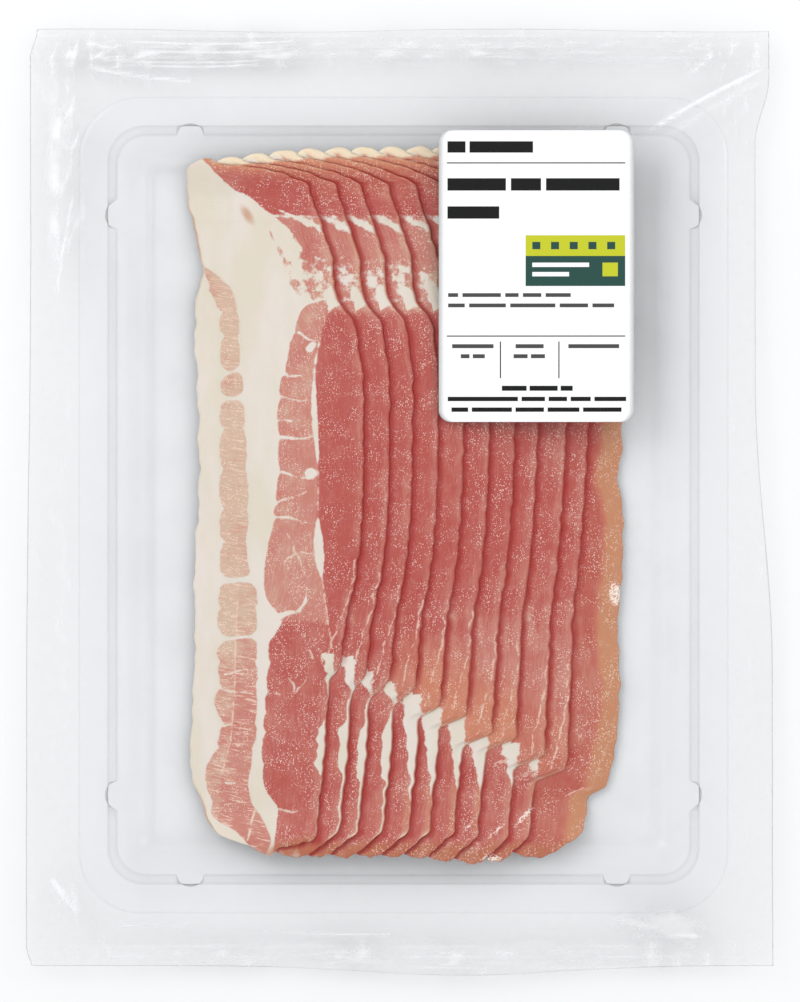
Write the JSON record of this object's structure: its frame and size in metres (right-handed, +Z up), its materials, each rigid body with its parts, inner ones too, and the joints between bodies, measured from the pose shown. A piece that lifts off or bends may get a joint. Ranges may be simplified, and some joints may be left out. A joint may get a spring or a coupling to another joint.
{
  "type": "bacon pack",
  "caption": "Flat clear film pack of shingled bacon slices in a shallow tray, sealed at both ends, with a plain weigh label on top.",
  "frame": {"origin": "under the middle of the pack, on the surface that it lies on", "axes": "+Z up out of the shown face; +Y along the slices, towards the end with the label; +X towards the label's side"},
  "size_m": [0.2244, 0.2844, 0.0157],
  "materials": {
    "film": "clear glossy packing film, wrinkled at its edges",
    "label": "satin white label paper with printed rules and colour blocks",
    "tray": "clear thermoformed tray plastic",
    "meat": "moist sliced bacon, lean meat marbled with fat"
  },
  "bodies": {
    "root": {"bag": "film", "label": "label"}
  },
  "joints": []
}
